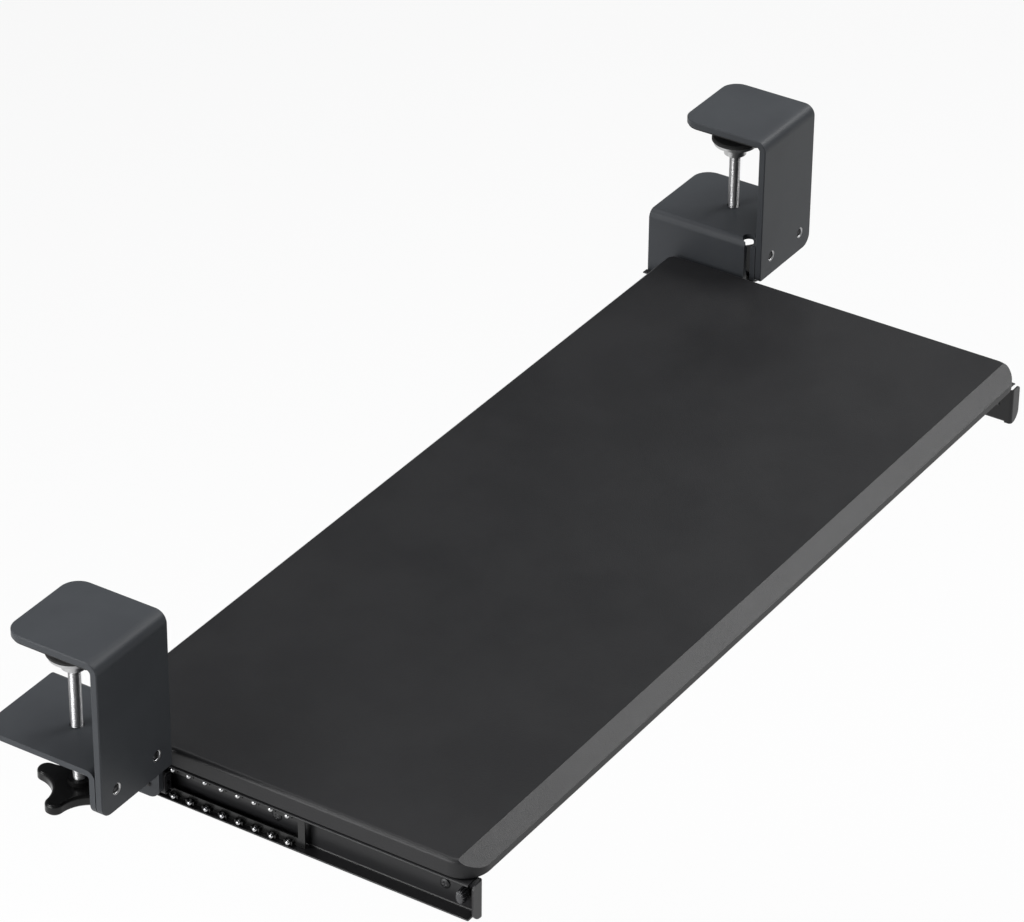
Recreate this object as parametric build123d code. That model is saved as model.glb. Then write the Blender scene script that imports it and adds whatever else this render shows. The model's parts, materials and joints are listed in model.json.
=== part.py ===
from build123d import *
from math import asin, cos, pi, radians, sin
import os

# Pull-out keyboard tray that two clamps hold under the front edge of a desk.
# X runs to the sitter's right, Y away from the sitter, Z up, all in millimetres.
# The origin is on the desk's top face, at its front edge, midway between the clamps.
# The tray is drawn pulled out. It slides along +Y to go under the desk.

# Overall sizes
tray_width = 683.5
tray_depth = 282
tray_drop = 99.7
tray_tuck = 63
desk_thickness = 16

# Upper clamp plate: a thick strip bent into a jaw over the desk and an upright in front of it
clamp_width = 69.5
clamp_side_gap = 7.25
plate_thickness = 5
plate_bend_radius = 3
plate_drop = 105
jaw_reach = 62.3
jaw_corner_radius = 13
upright_outer_corner_radius = 9
upright_inner_corner_radius = 2.5
plate_edge_chamfer = 0.6
desk_edge_gap = 2
jaw_pad_thickness = 1
jaw_pad_inset = 1

# Lower bracket: a flange under the desk, a short front flange and a side flange for the slide
bracket_thickness = 4
bracket_bend_radius = 2
bracket_drop = 72
bracket_reach = 83
side_flange_height = 64.5
side_flange_corner_radius = 8
side_flange_gap = 2.75
side_flange_setback = 6.4
flange_slit = 0.5
relief_radius = 4.5
relief_drop = 3
weld_nut_width = 13
weld_nut_height = 6.5

# Screws that join the plate to the bracket, in tapped holes of the plate
join_screw_radius = 3
join_screw_spacing = 40
join_screw_rise = 15
join_screw_head_radius = 5.2
join_screw_head_height = 3.3
join_screw_set_back = 1
tapped_hole_chamfer = 1

# Clamp screw with its star knob below and its swivel foot above
clamp_screw_radius = 4
clamp_screw_hole_gap = 0.5
running_clearance = 0.08
foot_pad_radius = 17
foot_pad_thickness = 2.5
foot_disc_radius = 15.5
foot_disc_thickness = 3
foot_boss_radius = 8
foot_boss_height = 8
foot_socket_gap = 0.3
foot_edge_chamfer = 1
knob_top_drop = 113.3
knob_thickness = 7.8
knob_reach = 30.8
knob_side_gap = 4.7
knob_front_gap = 4.2
knob_lobe_radius = 6.1
knob_valley_radius = 17
knob_lobes = 4
knob_edge_radius = 2.2
knob_bottom_chamfer = 1.5
knob_hub_radius = 7.5
knob_hub_height = 3
knob_floor = 3
left_knob_turn_degrees = 0
right_knob_turn_degrees = 68

# Tray board
board_thickness = 14
board_edge_radius = 3
board_bottom_chamfer = 1.5
board_front_corner_radius = 18
board_back_corner_radius = 6
bevel_depth = 12.5
bevel_drop = 7.5

# Slide: a long channel under the tray runs on balls along a short fixed member
slide_sheet = 1.2
slide_bend_radius = 1
slide_height = 27
slide_depth = 13.8
slide_tab_reach = 10.5
slide_back_setback = 1
lip_setback = 4
tab_low_corner_radius = 8
tab_top_corner_radius = 3
tab_top_notch = 0.5
ball_radius = 2
ball_gap = 0.3
ball_outset = 8.8
lip_wrap_degrees = 34
member_wrap_degrees = 18
member_front = 3
member_tab_reach = 6.4
member_tab_hole_radius = 1.5
member_screw_setback = 9.5
bumper_setback = 11
bumper_width = 6.5
bumper_height = 11
bumper_reach = 8.4
bumper_peg_radius = 1.6
stop_gap = 0.5

# Ball cage
cage_front = 95.7
cage_thickness = 0.8
cage_strip_height = 6
cage_edge_gap = 0.3
cage_bridge_width = 5
cage_corner_radius = 1
cage_ball_inset = 11
cage_finger_gap = 0.15
cage_finger_width = 0.9
cage_finger_height = 2.4
cage_finger_reach = 2.4
ball_pitch = 12.15
balls_per_row = 11
ball_seat_gap = 0.05

# Angle that carries the tray board on each channel
angle_thickness = 2
angle_bend_radius = 1
angle_shelf = 24
angle_leg = 19.5
angle_front_setback = 15
angle_back_setback = 4
angle_corner_radius = 3

# Small screws
small_screw_radius = 2
small_head_radius = 3.5
small_head_height = 1.6
small_screw_end = 2
channel_screw_setback = 26
channel_screw_back_setback = 12
channel_screw_count = 3
member_screw_end = 1
board_screw_radius = 2
board_head_radius = 4
board_head_height = 2.4
board_screw_bite = 10
board_screw_inset = 13
board_screw_margin = 24
board_screw_count = 4
shank_clearance = 0.05

# One length by which cutting tools run past the faces that they cut
overrun = 1

# Places that follow from the sizes above
clamp_inner_x = tray_width / 2 + clamp_side_gap
clamp_outer_x = clamp_inner_x + clamp_width
clamp_x = clamp_inner_x + clamp_width / 2
upright_back_y = -desk_edge_gap
upright_front_y = upright_back_y - plate_thickness
jaw_top_z = jaw_pad_thickness + plate_thickness
tray_front_y = tray_tuck - tray_depth
tray_bottom_z = -tray_drop - board_thickness
side_flange_x = tray_width / 2 + side_flange_gap
screw_x = side_flange_x + bracket_thickness + knob_side_gap + knob_reach
screw_y = upright_back_y + bracket_thickness + knob_front_gap + knob_reach
slide_x = side_flange_x - slide_depth
slide_z = tray_bottom_z - slide_height / 2
slide_length = tray_depth - slide_back_setback
channel_back_y = tray_front_y + slide_length
angle_length = tray_depth - angle_front_setback - angle_back_setback
member_back_y = bracket_reach
ball_x = slide_x + ball_outset
ball_row_rise = slide_height / 2 - slide_sheet - ball_gap - ball_radius
cage_x = ball_x - ball_radius - ball_seat_gap - cage_thickness
cage_front_y = -cage_front
first_ball_y = cage_front_y + cage_ball_inset
cage_back_y = first_ball_y + ball_pitch * (balls_per_row - 1) + cage_ball_inset
bumper_y = tray_front_y + bumper_setback
foot_top_z = -desk_thickness
foot_disc_top_z = foot_top_z - foot_pad_thickness
foot_boss_top_z = foot_disc_top_z - foot_disc_thickness
foot_boss_end_z = foot_boss_top_z - foot_boss_height
screw_top_z = foot_boss_top_z - foot_socket_gap - foot_edge_chamfer

# How far the moving pieces travel, in millimetres
tray_travel = member_front - (bumper_y + bumper_width / 2) - stop_gap
print("tray travel", tray_travel)
print("cage travel", tray_travel / 2)
print("foot travel down", bracket_drop + foot_boss_end_z)


def section_plane_along_x(x, y, z):
    """Plane whose x is world Y and whose y is world Z, facing +X."""
    return Plane(origin=(x, y, z), x_dir=(0, 1, 0), z_dir=(1, 0, 0))


def section_plane_along_y(x, y, z):
    """Plane whose x is world X and whose y is world Z, facing -Y."""
    return Plane(origin=(x, y, z), x_dir=(1, 0, 0), z_dir=(0, -1, 0))


def angle_section(across, down, thickness, inside_radius):
    """L-shaped section of bent sheet, with its outer corner at the origin."""
    outline = Polyline(
        (0, 0),
        (across, 0),
        (across, -thickness),
        (thickness, -thickness),
        (thickness, -down),
        (0, -down),
        close=True,
    )
    section = make_face(outline)
    section = fillet(section.vertices().sort_by_distance((0, 0))[0], inside_radius + thickness)
    inner = section.vertices().sort_by_distance((thickness, -thickness))[0]
    return fillet(inner, inside_radius)


def sheet_section(centre_line, thickness):
    """Section of rolled sheet of even thickness along an open centre line."""
    return make_face(offset(centre_line, thickness / 2, side=Side.BOTH).edges())


def edges_along(part, axis, low, high):
    """Straight edges parallel to an axis whose centres lie in a box."""
    found = [
        edge
        for edge in part.edges().filter_by(GeomType.LINE).filter_by(axis)
        if all(a <= c <= b for a, c, b in zip(low, edge.center(), high))
    ]
    return ShapeList(found)


def domed_screw(head_radius, head_height, shank_radius, shank_length):
    """Screw along -Z with its domed head standing on the plane Z = 0."""
    rim = head_height / 3
    rise = head_height - rim
    crown_radius = (head_radius**2 + rise**2) / (2 * rise)
    half_way = asin(head_radius / crown_radius) / 2
    outline = Polyline(
        (0, -shank_length),
        (shank_radius, -shank_length),
        (shank_radius, 0),
        (head_radius, 0),
        (head_radius, rim),
    )
    crown = ThreePointArc(
        (head_radius, rim),
        (crown_radius * sin(half_way), head_height - crown_radius * (1 - cos(half_way))),
        (0, head_height),
    )
    axis_line = Line((0, head_height), (0, -shank_length))
    profile = make_face([*outline.edges(), crown, axis_line])
    return revolve(Plane.XZ * profile, Axis.Z)


def upper_clamp_plate():
    """Jaw and upright in one bent strip, with two tapped holes low in the upright."""
    section = angle_section(
        jaw_reach - upright_front_y, jaw_top_z + plate_drop, plate_thickness, plate_bend_radius
    )
    plane = section_plane_along_x(clamp_inner_x, upright_front_y, jaw_top_z)
    plate = extrude(plane * section, clamp_width)
    jaw_corners = plate.edges().filter_by(Axis.Z).sort_by(Axis.Y)[-2:]
    plate = fillet(jaw_corners, jaw_corner_radius)
    feet = plate.edges().filter_by(Axis.Y).sort_by(Axis.Z)[:2].sort_by(Axis.X)
    plate = fillet(feet[1], upright_outer_corner_radius)
    feet = plate.edges().filter_by(Axis.Y).sort_by(Axis.Z)[:2].sort_by(Axis.X)
    plate = fillet(feet[0], upright_inner_corner_radius)
    plate = chamfer(plate.edges(), plate_edge_chamfer)
    for x in join_screw_places():
        plate -= upright_hole(x, join_screw_radius + shank_clearance, upright_front_y)
        mouth = Cone(
            join_screw_radius,
            join_screw_radius + tapped_hole_chamfer,
            tapped_hole_chamfer,
            align=(Align.CENTER, Align.CENTER, Align.MAX),
        )
        plate -= Pos(x, upright_front_y, join_screw_z()) * Rot(90, 0, 0) * mouth
    return plate


def join_screw_z():
    """Height of the screws that join the plate and the bracket."""
    return -plate_drop + join_screw_rise


def join_screw_places():
    """X places of the two joining screws of the right clamp."""
    return [clamp_x - join_screw_spacing / 2, clamp_x + join_screw_spacing / 2]


def upright_hole(x, radius, y):
    """Cutter along Y, from a face at y back through the sheets behind it."""
    reach = plate_thickness + bracket_thickness + 2 * overrun
    drill = Cylinder(radius, reach, align=(Align.CENTER, Align.CENTER, Align.MIN))
    return Pos(x, y - overrun, join_screw_z()) * Rot(-90, 0, 0) * drill


def jaw_pad():
    """Rubber sheet glued under the jaw, a little inside its outline."""
    width = clamp_width - 2 * jaw_pad_inset
    front = upright_back_y + plate_bend_radius
    reach = jaw_reach - jaw_pad_inset - front
    pad = Box(width, reach, jaw_pad_thickness, align=(Align.CENTER, Align.MIN, Align.MIN))
    pad = Pos(clamp_x, front, 0) * pad
    back_corners = pad.edges().filter_by(Axis.Z).sort_by(Axis.Y)[-2:]
    return fillet(back_corners, jaw_corner_radius - jaw_pad_inset)


def lower_bracket():
    """Flange under the desk with a front flange and a side flange, both bent down."""
    bend_reach = bracket_bend_radius + bracket_thickness
    front = angle_section(
        bracket_reach - upright_back_y,
        plate_drop - bracket_drop,
        bracket_thickness,
        bracket_bend_radius,
    )
    front_start = side_flange_x + bend_reach
    plane = section_plane_along_x(front_start, upright_back_y, -bracket_drop)
    bracket = extrude(plane * front, clamp_outer_x - front_start)
    side = angle_section(
        clamp_outer_x - side_flange_x, side_flange_height, bracket_thickness, bracket_bend_radius
    )
    plane = section_plane_along_y(side_flange_x, bracket_reach, -bracket_drop)
    bracket += extrude(plane * side, bracket_reach - upright_back_y - side_flange_setback)
    bracket += front_lip(bend_reach)
    bracket -= bend_relief(bend_reach)
    back_corner = edges_along(
        bracket,
        Axis.Z,
        (clamp_outer_x - overrun, bracket_reach - overrun, -bracket_drop - bracket_thickness),
        (clamp_outer_x + overrun, bracket_reach + overrun, -bracket_drop),
    )
    bracket = fillet(back_corner, jaw_corner_radius)
    low_corners = bracket.edges().filter_by(Axis.X).sort_by(Axis.Z)[:2]
    bracket = fillet(low_corners, side_flange_corner_radius)
    front_corner = edges_along(
        bracket,
        Axis.Y,
        (clamp_outer_x - overrun, upright_back_y, -plate_drop - overrun),
        (clamp_outer_x + overrun, upright_back_y + bracket_thickness, -plate_drop + overrun),
    )
    bracket = fillet(front_corner, upright_outer_corner_radius)
    drill = Cylinder(
        clamp_screw_radius + clamp_screw_hole_gap,
        bracket_thickness + 2 * overrun,
        align=(Align.CENTER, Align.CENTER, Align.MAX),
    )
    bracket -= Pos(screw_x, screw_y, -bracket_drop + overrun) * drill
    for x in join_screw_places():
        bracket -= upright_hole(x, join_screw_radius + shank_clearance, upright_back_y)
    for y in member_screw_places():
        hole = Cylinder(small_screw_radius + shank_clearance, bracket_thickness + 2 * overrun)
        middle_x = side_flange_x + bracket_thickness / 2
        bracket -= Pos(middle_x, y, slide_z) * Rot(0, 90, 0) * hole
    return bracket


def front_lip(bend_reach):
    """Edge of the front flange that runs on past the bend to just beside the side flange."""
    top = -bracket_drop - bend_reach
    start = side_flange_x + bracket_thickness + flange_slit
    lip = Box(
        side_flange_x + bend_reach - start,
        bracket_thickness,
        top + plate_drop,
        align=(Align.MIN, Align.MIN, Align.MAX),
    )
    return Pos(start, upright_back_y, top) * lip


def bend_relief(bend_reach):
    """Round-ended cutter that frees the corner where the two bends would meet."""
    cutter = Sphere(relief_radius)
    cutter += Cylinder(
        relief_radius, relief_drop + overrun, align=(Align.CENTER, Align.CENTER, Align.MIN)
    )
    centre = Pos(
        side_flange_x + bend_reach, upright_back_y + bend_reach, -bracket_drop - relief_drop
    )
    return centre * cutter


def weld_nut():
    """Hexagonal nut welded under the bracket, in which the clamp screw turns."""
    hexagon = RegularPolygon(weld_nut_width / 2, 6, major_radius=False)
    nut = extrude(hexagon, -weld_nut_height)
    bore = Cylinder(
        clamp_screw_radius + running_clearance,
        weld_nut_height + 2 * overrun,
        align=(Align.CENTER, Align.CENTER, Align.MAX),
    )
    nut -= Pos(0, 0, overrun) * bore
    return Pos(screw_x, screw_y, -bracket_drop - bracket_thickness) * nut


def join_screws():
    """Two screws from behind the bracket into the plate of the right clamp."""
    shank = bracket_thickness + plate_thickness - join_screw_set_back
    screw = domed_screw(join_screw_head_radius, join_screw_head_height, join_screw_radius, shank)
    y = upright_back_y + bracket_thickness
    return [Pos(x, y, join_screw_z()) * Rot(-90, 0, 0) * screw for x in join_screw_places()]


def clamp_screw():
    """Plain-drawn threaded rod from the foot's socket down into the knob."""
    end_z = -knob_top_drop - knob_thickness + knob_floor
    rod = Cylinder(
        clamp_screw_radius, screw_top_z - end_z, align=(Align.CENTER, Align.CENTER, Align.MAX)
    )
    rod = chamfer(rod.edges().filter_by(GeomType.CIRCLE).sort_by(Axis.Z)[-1], foot_edge_chamfer)
    return Pos(screw_x, screw_y, screw_top_z) * rod


def knob_outline():
    """Star of round lobes joined by hollow arcs that touch them."""
    half_step = pi / knob_lobes
    lobe_place = knob_reach - knob_lobe_radius
    along = lobe_place * cos(half_step)
    hollow = knob_valley_radius**2 + lobe_place**2 - 2 * along * knob_valley_radius
    hollow -= knob_lobe_radius**2
    valley = hollow / (2 * (knob_lobe_radius + along - knob_valley_radius))
    valley_place = knob_valley_radius + valley
    touch_share = knob_lobe_radius / (knob_lobe_radius + valley)
    edges = []
    for lobe in range(knob_lobes):
        turn = 2 * half_step * lobe
        centre = polar(lobe_place, turn)
        before = polar(valley_place, turn - half_step)
        after = polar(valley_place, turn + half_step)
        start = centre + (before - centre) * touch_share
        end = centre + (after - centre) * touch_share
        edges.append(ThreePointArc(start, polar(knob_reach, turn), end))
        next_centre = polar(lobe_place, turn + 2 * half_step)
        next_start = next_centre + (after - next_centre) * touch_share
        edges.append(ThreePointArc(end, polar(knob_valley_radius, turn + half_step), next_start))
    return make_face(edges)


def polar(radius, angle):
    """Point at a radius and an angle in radians."""
    return Vector(radius * cos(angle), radius * sin(angle))


def star_knob(turn_degrees):
    """Moulded star knob with rounded edges, a hub and the hole that takes the screw."""
    knob = extrude(knob_outline(), -knob_thickness)
    rims = knob.edges().filter_by(Axis.Z, reverse=True).group_by(Axis.Z)
    knob = chamfer(rims[0], knob_bottom_chamfer)
    rims = knob.edges().filter_by(Axis.Z, reverse=True).group_by(Axis.Z)
    knob = fillet(rims[-1], knob_edge_radius)
    knob += Cylinder(
        knob_hub_radius,
        knob_hub_height + knob_edge_radius,
        align=(Align.CENTER, Align.CENTER, Align.MIN),
    ).moved(Location((0, 0, -knob_edge_radius)))
    socket_depth = knob_hub_height + knob_thickness - knob_floor
    socket = Cylinder(
        clamp_screw_radius + shank_clearance,
        socket_depth + overrun,
        align=(Align.CENTER, Align.CENTER, Align.MAX),
    )
    knob -= Pos(0, 0, knob_hub_height + overrun) * socket
    return Pos(screw_x, screw_y, -knob_top_drop) * Rot(0, 0, turn_degrees) * knob


def foot_disc():
    """Steel foot with a boss whose socket the clamp screw turns in."""
    outline = Polyline(
        (0, 0),
        (foot_disc_radius, 0),
        (foot_disc_radius, -foot_disc_thickness),
        (foot_boss_radius, -foot_disc_thickness),
        (foot_boss_radius, -foot_disc_thickness - foot_boss_height),
        (clamp_screw_radius + running_clearance, -foot_disc_thickness - foot_boss_height),
        (clamp_screw_radius + running_clearance, -foot_disc_thickness - foot_edge_chamfer),
        (0, -foot_disc_thickness - foot_edge_chamfer),
        close=True,
    )
    disc = revolve(Plane.XZ * make_face(outline), Axis.Z)
    return Pos(screw_x, screw_y, foot_disc_top_z) * disc


def foot_pad():
    """Rubber facing of the foot, pressed up against the desk."""
    pad = Cylinder(
        foot_pad_radius, foot_pad_thickness, align=(Align.CENTER, Align.CENTER, Align.MAX)
    )
    pad = chamfer(pad.edges().filter_by(GeomType.CIRCLE).sort_by(Axis.Z)[-1], foot_edge_chamfer)
    return Pos(screw_x, screw_y, foot_top_z) * pad


def tray_board():
    """Film-wrapped board with rounded edges and a wide planed bevel along its front."""
    board = Box(
        tray_width, tray_depth, board_thickness, align=(Align.CENTER, Align.MIN, Align.MAX)
    )
    corners = board.edges().filter_by(Axis.Z).sort_by(Axis.Y)
    board = fillet(corners[:2], board_front_corner_radius)
    corners = board.edges().filter_by(Axis.Z).sort_by(Axis.Y)
    board = fillet(corners[-2:], board_back_corner_radius)
    board = fillet(board.edges().group_by(Axis.Z)[-1], board_edge_radius)
    board = chamfer(board.edges().group_by(Axis.Z)[0], board_bottom_chamfer)
    rise_share = bevel_drop / bevel_depth
    wedge = make_face(
        Polyline(
            (-overrun, -bevel_drop - overrun * rise_share),
            (bevel_depth + overrun, overrun * rise_share),
            (-overrun, overrun * rise_share),
            close=True,
        )
    )
    plane = section_plane_along_x(-tray_width / 2 - overrun, 0, 0)
    board -= extrude(plane * wedge, tray_width + 2 * overrun)
    board = Pos(0, tray_front_y, -tray_drop) * board
    for side in (-1, 1):
        for y in board_screw_places():
            pilot = Cylinder(
                board_screw_radius + shank_clearance,
                board_screw_bite + shank_clearance + overrun,
                align=(Align.CENTER, Align.CENTER, Align.MIN),
            )
            board -= Pos(side * board_screw_x(), y, tray_bottom_z - overrun) * pilot
    return board


def slide_arc(rise_sign, start_degrees, end_degrees):
    """Arc of the sheet's centre line round a ball row, at constant distance from its centre."""
    radius = ball_radius + ball_gap + slide_sheet / 2
    row = rise_sign * ball_row_rise
    angles = [radians(a) for a in (start_degrees, (start_degrees + end_degrees) / 2, end_degrees)]
    points = [(ball_outset + radius * cos(a), row + radius * sin(a)) for a in angles]
    return ThreePointArc(*points)


def channel_section():
    """Open channel whose lips curl over the two ball rows."""
    web = slide_sheet / 2
    lip = slide_height / 2 - slide_sheet / 2
    bend = slide_bend_radius + slide_sheet / 2
    top_curl = slide_arc(1, 90 - lip_wrap_degrees, 90)
    low_curl = slide_arc(-1, -90, lip_wrap_degrees - 90)
    middle = FilletPolyline(
        (ball_outset, lip), (web, lip), (web, -lip), (ball_outset, -lip), radius=bend
    )
    return sheet_section(Wire([top_curl, *middle.edges(), low_curl]), slide_sheet)


def member_section():
    """Narrow channel that the side flange carries, with its flanges under the ball rows."""
    back = slide_depth - slide_sheet / 2
    flange = ball_row_rise - ball_radius - ball_gap - slide_sheet / 2
    bend = slide_bend_radius + slide_sheet / 2
    top_curl = slide_arc(1, -90 - member_wrap_degrees, -90)
    low_curl = slide_arc(-1, 90, 90 + member_wrap_degrees)
    middle = FilletPolyline(
        (ball_outset, flange), (back, flange), (back, -flange), (ball_outset, -flange), radius=bend
    )
    return sheet_section(Wire([top_curl, *middle.edges(), low_curl]), slide_sheet)


def tray_channel():
    """Long channel of the slide, closed in front by a tab bent outwards from its web."""
    plane = section_plane_along_y(slide_x, channel_back_y, slide_z)
    channel = extrude(plane * channel_section(), slide_length - lip_setback)
    elbow = angle_section(
        slide_tab_reach, lip_setback + slide_sheet, slide_sheet, slide_bend_radius
    )
    elbow_plane = Plane(
        origin=(slide_x, tray_front_y, slide_z - slide_height / 2),
        x_dir=(1, 0, 0),
        z_dir=(0, 0, -1),
    )
    tab = extrude(elbow_plane * elbow, -slide_height + tab_top_notch)
    outer = tab.edges().filter_by(Axis.Y).sort_by(Axis.X)[-2:].sort_by(Axis.Z)
    tab = fillet(outer[0], tab_low_corner_radius)
    outer = tab.edges().filter_by(Axis.Y).sort_by(Axis.X)[-2:].sort_by(Axis.Z)
    tab = fillet(outer[-1], tab_top_corner_radius)
    channel += tab
    for y in channel_screw_places():
        channel -= web_hole(y, small_screw_radius + shank_clearance)
    channel -= web_hole(bumper_y, bumper_peg_radius + shank_clearance)
    return channel


def web_hole(y, radius):
    """Cutter through the channel's web at a place along the slide."""
    drill = Cylinder(radius, slide_sheet + 2 * overrun)
    return Pos(slide_x + slide_sheet / 2, y, slide_z) * Rot(0, 90, 0) * drill


def channel_screw_places():
    """Y places of the screws that join the channel to its angle."""
    first = tray_front_y + channel_screw_setback
    span = slide_length - channel_screw_setback - channel_screw_back_setback
    return [first + span * i / (channel_screw_count - 1) for i in range(channel_screw_count)]


def member_screw_places():
    """Y places of the screws that hold the fixed member on the side flange."""
    return [member_front + member_screw_setback, member_back_y - member_screw_setback]


def board_screw_x():
    """X place of the screws that hold the board on the right angle."""
    return slide_x - board_screw_inset


def board_screw_places():
    """Y places of the screws along one angle, evenly spread."""
    front = tray_front_y + angle_front_setback + board_screw_margin
    span = angle_length - 2 * board_screw_margin
    return [front + span * i / (board_screw_count - 1) for i in range(board_screw_count)]


def fixed_member():
    """Short member of the slide, with an end tab that the bumper meets."""
    plane = section_plane_along_y(slide_x, member_back_y, slide_z)
    member = extrude(plane * member_section(), member_back_y - member_front)
    inside = ball_row_rise - ball_radius - ball_gap - slide_sheet - slide_bend_radius
    elbow = angle_section(
        member_tab_reach, member_screw_setback / 2, slide_sheet, slide_bend_radius
    )
    elbow_plane = Plane(
        origin=(side_flange_x, member_front, slide_z - inside),
        x_dir=(-1, 0, 0),
        z_dir=(0, 0, 1),
    )
    member += extrude(elbow_plane * elbow, 2 * inside)
    tab_hole = Cylinder(member_tab_hole_radius, slide_sheet + 2 * overrun)
    tab_middle_x = side_flange_x - (member_tab_reach + slide_sheet) / 2
    member -= Pos(tab_middle_x, member_front + slide_sheet / 2, slide_z) * Rot(90, 0, 0) * tab_hole
    for y in member_screw_places():
        hole = Cylinder(small_screw_radius + shank_clearance, slide_sheet + 2 * overrun)
        member -= Pos(side_flange_x - slide_sheet / 2, y, slide_z) * Rot(0, 90, 0) * hole
    return member


def member_screws():
    """Screws through the fixed member into the side flange."""
    shank = slide_sheet + bracket_thickness + member_screw_end
    screw = domed_screw(small_head_radius, small_head_height, small_screw_radius, shank)
    x = side_flange_x - slide_sheet
    return [Pos(x, y, slide_z) * Rot(0, -90, 0) * screw for y in member_screw_places()]


def channel_screws():
    """Screws through the channel's web into the angle behind it."""
    shank = slide_sheet + angle_thickness + small_screw_end
    screw = domed_screw(small_head_radius, small_head_height, small_screw_radius, shank)
    x = slide_x + slide_sheet
    return [Pos(x, y, slide_z) * Rot(0, 90, 0) * screw for y in channel_screw_places()]


def tray_angle():
    """Angle with one leg on the channel's web and one under the board."""
    section = angle_section(angle_shelf, angle_leg, angle_thickness, angle_bend_radius)
    section = mirror(section, about=Plane.YZ)
    back = tray_front_y + angle_front_setback + angle_length
    plane = section_plane_along_y(slide_x, back, tray_bottom_z)
    angle = extrude(plane * section, angle_length)
    shelf_corners = angle.edges().filter_by(Axis.Z).sort_by(Axis.X)[:2]
    angle = fillet(shelf_corners, angle_corner_radius)
    leg_corners = angle.edges().filter_by(Axis.X).sort_by(Axis.Z)[:2]
    angle = fillet(leg_corners, angle_corner_radius)
    for y in channel_screw_places():
        hole = Cylinder(small_screw_radius + shank_clearance, angle_thickness + 2 * overrun)
        angle -= Pos(slide_x - angle_thickness / 2, y, slide_z) * Rot(0, 90, 0) * hole
    for y in board_screw_places():
        hole = Cylinder(board_screw_radius + shank_clearance, angle_thickness + 2 * overrun)
        angle -= Pos(board_screw_x(), y, tray_bottom_z - angle_thickness / 2) * hole
    return angle


def board_screws():
    """Screws up through the right angle into the board."""
    shank = angle_thickness + board_screw_bite
    screw = domed_screw(board_head_radius, board_head_height, board_screw_radius, shank)
    z = tray_bottom_z - angle_thickness
    return [Pos(board_screw_x(), y, z) * Rot(180, 0, 0) * screw for y in board_screw_places()]


def channel_bumper():
    """Soft stop on the channel's web that meets the fixed member when the tray is pushed in."""
    pill = SlotOverall(bumper_height, bumper_width, rotation=90)
    plane = Plane(origin=(slide_x + slide_sheet, bumper_y, slide_z), x_dir=(0, 1, 0), z_dir=(1, 0, 0))
    bumper = extrude(plane * pill, bumper_reach)
    peg = Cylinder(bumper_peg_radius, slide_sheet, align=(Align.CENTER, Align.CENTER, Align.MIN))
    return bumper + Pos(slide_x, bumper_y, slide_z) * Rot(0, 90, 0) * peg


def ball_places():
    """Y places of the balls of one row."""
    return [first_ball_y + ball_pitch * i for i in range(balls_per_row)]


def ball_cage():
    """Flat cage with a strip for each ball row, a bridge at each end and fingers round each ball."""
    strip_top = slide_height / 2 - slide_sheet - cage_edge_gap
    length = cage_back_y - cage_front_y
    frame = Rectangle(length, 2 * strip_top)
    frame = fillet(frame.vertices(), cage_corner_radius)
    window = Rectangle(
        length - 2 * cage_bridge_width, 2 * (strip_top - cage_strip_height)
    )
    middle_y = (cage_front_y + cage_back_y) / 2
    plane = Plane(origin=(cage_x, middle_y, slide_z), x_dir=(0, 1, 0), z_dir=(1, 0, 0))
    cage = extrude(plane * (frame - window), cage_thickness)
    step = ball_radius + cage_finger_gap + cage_finger_width / 2
    finger = Box(
        cage_finger_reach + cage_thickness,
        cage_finger_width,
        cage_finger_height,
        align=(Align.MIN, Align.CENTER, Align.CENTER),
    )
    fingers = []
    for y in ball_places():
        for row in (-1, 1):
            for end in (-1, 1):
                place = Pos(cage_x, y + end * step, slide_z + row * ball_row_rise)
                fingers.append(place * finger)
    return cage + fingers


def slide_balls():
    """Steel balls of both rows of one slide."""
    ball = Sphere(ball_radius)
    return [
        Pos(ball_x, y, slide_z + row * ball_row_rise) * ball
        for y in ball_places()
        for row in (-1, 1)
    ]


def mirrored(shape):
    """The same piece on the other side of the tray."""
    return mirror(shape, about=Plane.YZ)


def write(name, shape):
    """One file for each piece or group of like fasteners."""
    export_step(shape, f"parts/{name}.step")


def both_sides(solids):
    """A group of separate solids with its mirror image."""
    return Compound(children=solids + [mirrored(solid) for solid in solids])


def main():
    os.makedirs("parts", exist_ok=True)
    sided = {
        "upper_clamp_plate": upper_clamp_plate(),
        "jaw_pad": jaw_pad(),
        "lower_bracket": lower_bracket(),
        "weld_nut": weld_nut(),
        "fixed_slide_member": fixed_member(),
        "clamp_screw": clamp_screw(),
        "foot_disc": foot_disc(),
        "foot_pad": foot_pad(),
        "tray_channel": tray_channel(),
        "channel_bumper": channel_bumper(),
        "tray_angle": tray_angle(),
        "ball_cage": ball_cage(),
    }
    for name, shape in sided.items():
        write(f"right_{name}", shape)
        write(f"left_{name}", mirrored(shape))
    write("right_star_knob", star_knob(right_knob_turn_degrees))
    write("left_star_knob", mirrored(star_knob(left_knob_turn_degrees)))
    balls = slide_balls()
    write("right_slide_balls", Compound(children=balls))
    write("left_slide_balls", Compound(children=[mirrored(ball) for ball in balls]))
    write("tray_board", tray_board())
    write("plate_join_screws", both_sides(join_screws()))
    write("member_screws", both_sides(member_screws()))
    write("channel_screws", both_sides(channel_screws()))
    write("board_screws", both_sides(board_screws()))


main()
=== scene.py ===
import json
import math

import bmesh
import bpy
from mathutils import Matrix, Vector


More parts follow.
